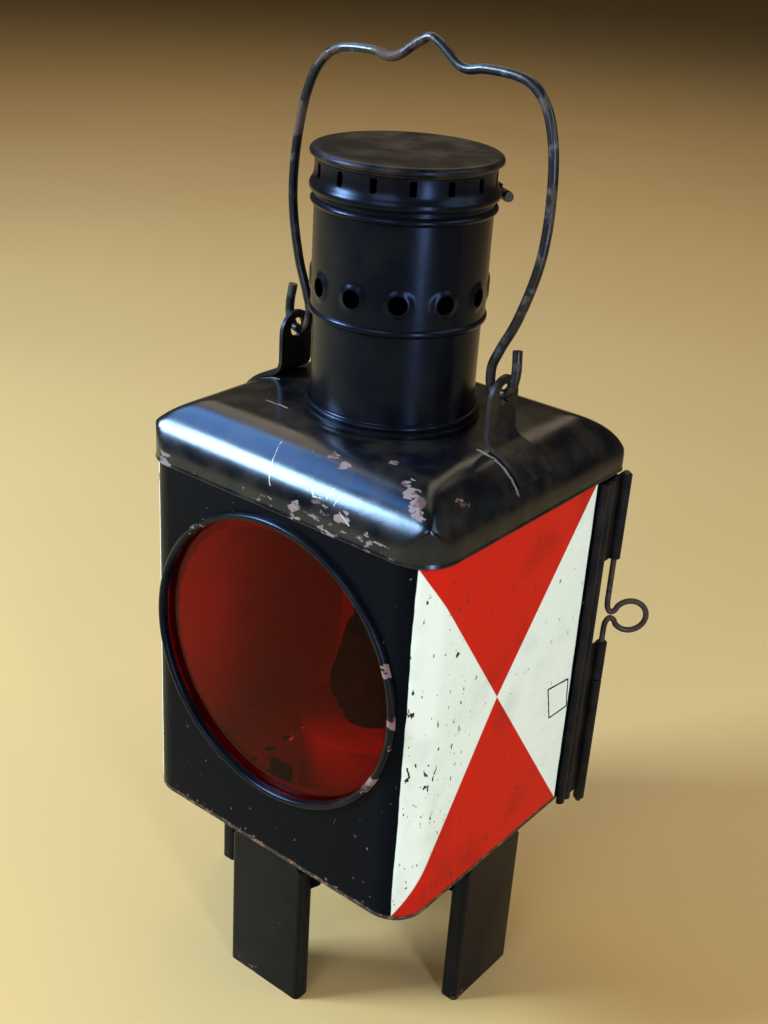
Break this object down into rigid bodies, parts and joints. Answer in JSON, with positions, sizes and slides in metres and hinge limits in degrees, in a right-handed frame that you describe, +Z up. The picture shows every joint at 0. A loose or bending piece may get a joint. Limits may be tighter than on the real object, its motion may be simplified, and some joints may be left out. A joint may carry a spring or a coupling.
{
  "type": "railway signal lamp",
  "caption": "Oil-burning railway signal lamp: square sheet-steel case with round red glass, vented chimney with hinged lid, wire bail, rear door and lamp-iron sockets.",
  "frame": {"origin": "middle of the base of the whole lamp, on the surface that its four sockets stand on", "axes": "+Z up, the glass faces -Y, the rear door faces +Y, +X is the right side seen from the front"},
  "size_m": [0.185, 0.1641, 0.4415],
  "materials": {
    "black_paint": "glossy black oil paint on pressed sheet steel, chipped to brown primer at the creases",
    "side_paint": "black paint in front, red and white hourglass signal paint on both sides",
    "worn_black": "dull worn black paint on sheet steel with rust at the edges",
    "wire_steel": "drawn steel wire, dark oxide with rust patches",
    "red_glass": "clear ruby signal glass, smooth",
    "tinned_steel": "tinned sheet steel, satin",
    "brass": "dull brass",
    "wick_cotton": "woven cotton wick"
  },
  "bodies": {
    "case": {"roof": "black_paint", "lens_bezel": "black_paint", "chimney_foot_ring": "black_paint", "chimney_flue": "black_paint", "chimney_stack": "black_paint", "case_shell": "side_paint", "bottom_pan": "worn_black", "rail_right": "worn_black", "rail_left": "worn_black", "lid_hinge_lug": "worn_black", "ear_right": "worn_black", "ear_left": "worn_black", "socket_front": "worn_black", "socket_right": "worn_black", "socket_rear": "worn_black", "socket_left": "worn_black", "socket_bracket_front": "worn_black", "socket_bracket_right": "worn_black", "socket_bracket_rear": "worn_black", "socket_bracket_left": "worn_black", "tank_clip_rear_right": "worn_black", "tank_clip_rear_left": "worn_black", "tank_clip_front_left": "worn_black", "tank_clip_front_right": "worn_black", "burner_cone": "worn_black", "reflector_strip": "worn_black", "door_pin": "wire_steel", "lens_glass": "red_glass", "lens_retainer": "tinned_steel", "oil_tank": "tinned_steel", "reflector": "tinned_steel", "filler_cap": "brass", "burner_gallery": "brass", "wick_tube": "brass"},
    "bail": {"bail": "wire_steel"},
    "lid": {"lid_gallery": "black_paint", "lid_cap": "worn_black", "lid_hinge_fork": "worn_black", "lid_hinge_pin": "wire_steel"},
    "door": {"door_panel": "worn_black"},
    "latch": {"latch_wire": "wire_steel"},
    "winder": {"wick_winder": "brass", "winder_knob": "brass"},
    "wick": {"wick": "wick_cotton"}
  },
  "joints": [
    {"name": "bail_swing", "type": "hinge", "parent": "case", "child": "bail", "pos_m": [-0.00654, -0.00503, 0.3067], "axis": [1, 0, 0], "range_deg": [-104, 112]},
    {"name": "lid_hinge", "type": "hinge", "parent": "case", "child": "lid", "pos_m": [0.01742, 0.03187, 0.37775], "axis": [-0.8387, 0.5446, 0], "range_deg": [0, 29]},
    {"name": "door_hinge", "type": "hinge", "parent": "case", "child": "door", "pos_m": [-0.08904, 0.06797, 0.168], "axis": [0, 0, 1], "range_deg": [0, 110]},
    {"name": "latch_swivel", "type": "hinge", "parent": "case", "child": "latch", "pos_m": [0.07595, 0.06797, 0.181], "axis": [0, 0, 1], "range_deg": [-90, 135]},
    {"name": "winder_turn", "type": "hinge", "parent": "case", "child": "winder", "pos_m": [-0.00654, -0.00013, 0.1315], "axis": [-1, 0, 0], "range_deg": [0, 120]},
    {"name": "wick_lift", "type": "slide", "parent": "case", "child": "wick", "axis": [0, 0, 1], "range_m": [0, 0.008]}
  ],
  "couplings": [
    {"joint": "wick_lift", "follows": "winder_turn", "m_per_rad": 0.0036}
  ]
}
